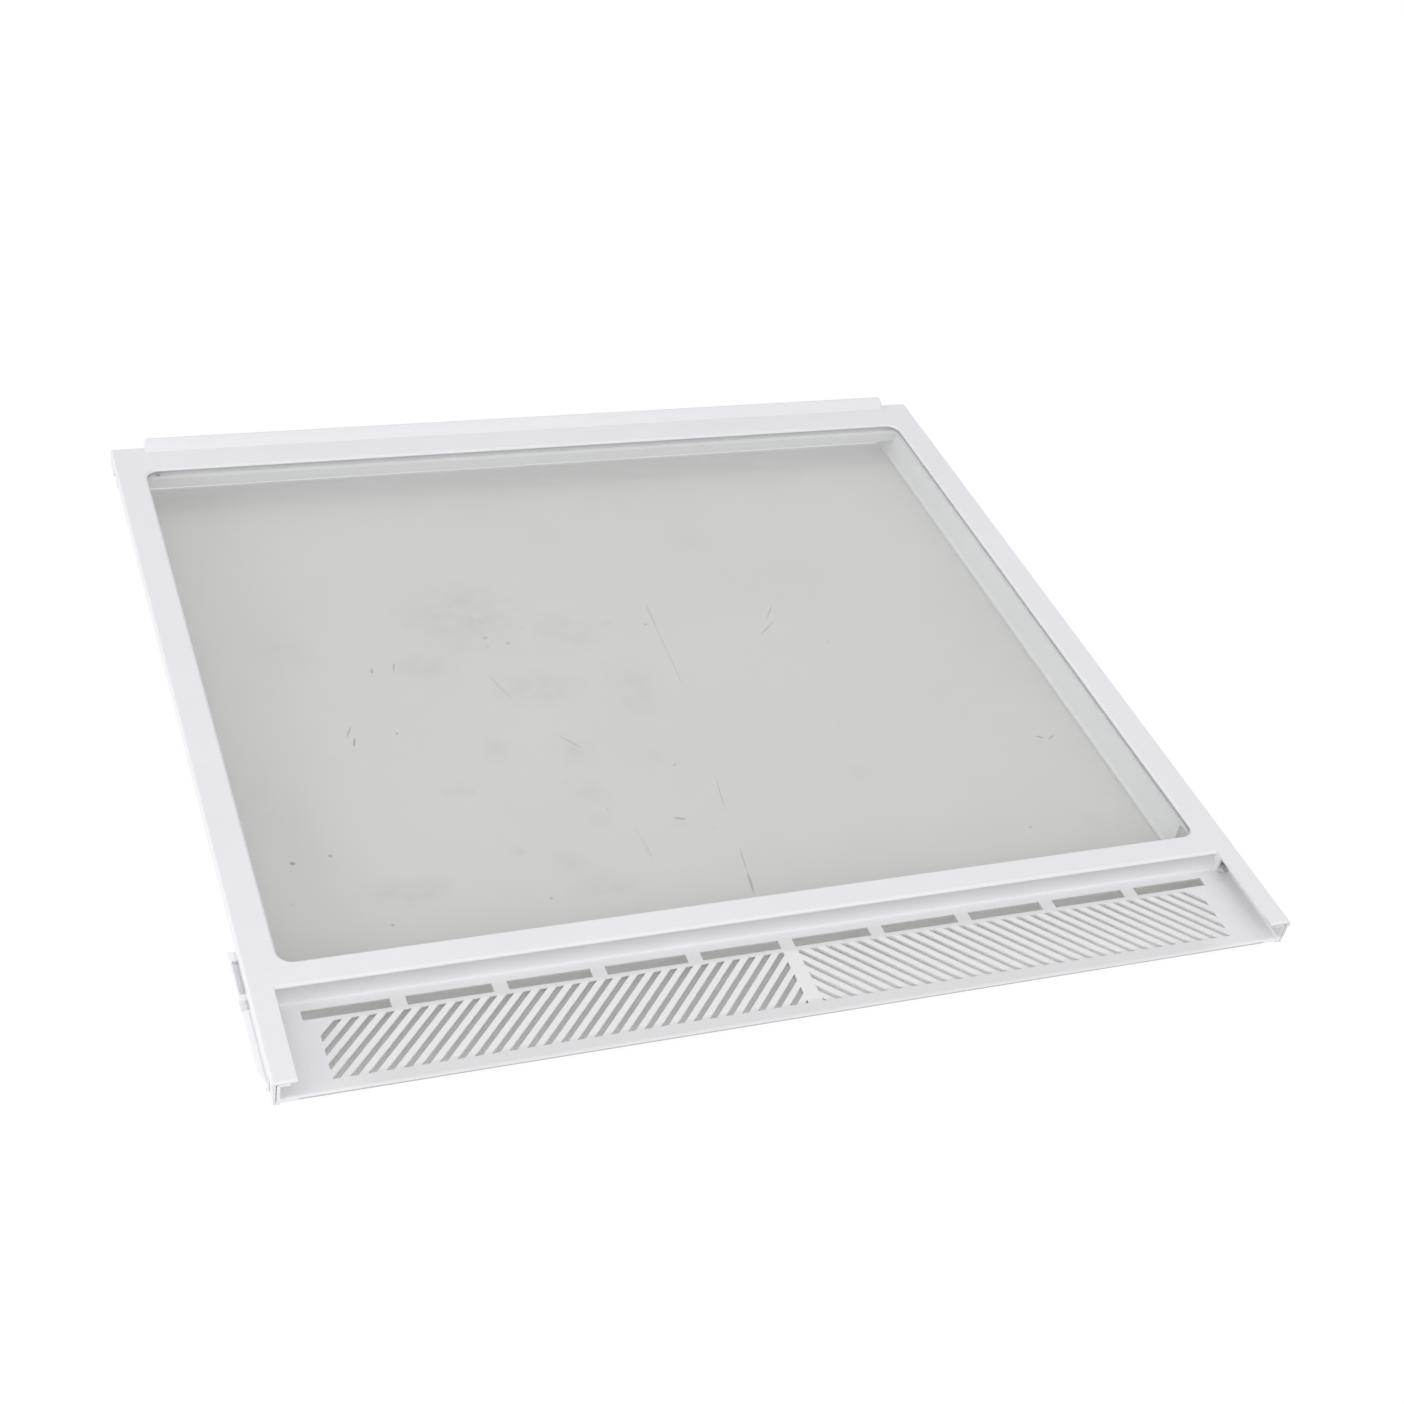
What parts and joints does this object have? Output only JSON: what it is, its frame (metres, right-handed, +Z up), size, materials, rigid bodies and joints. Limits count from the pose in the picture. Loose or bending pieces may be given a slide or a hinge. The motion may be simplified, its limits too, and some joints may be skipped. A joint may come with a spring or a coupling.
{
  "type": "fridge glass shelf",
  "caption": "Flat glass shelf in a white moulded frame with a sunk slotted air grille along the front, a rear upstand, deep side skirts under the glass and short side runners.",
  "frame": {"origin": "under the middle of the shelf, at the level of the side skirts' feet", "axes": "+X across the shelf to its right, +Y from the front grille to the rear upstand, +Z up through the glass"},
  "size_m": [0.481, 0.458, 0.0318],
  "materials": {
    "white_plastic": "smooth satin white moulding with a faint cool tint",
    "clear_glass": "clear flat glass with a faint green edge, lightly scratched"
  },
  "bodies": {
    "root": {"upper_frame": "white_plastic", "glass_pane": "clear_glass", "lower_frame": "white_plastic"}
  },
  "joints": []
}
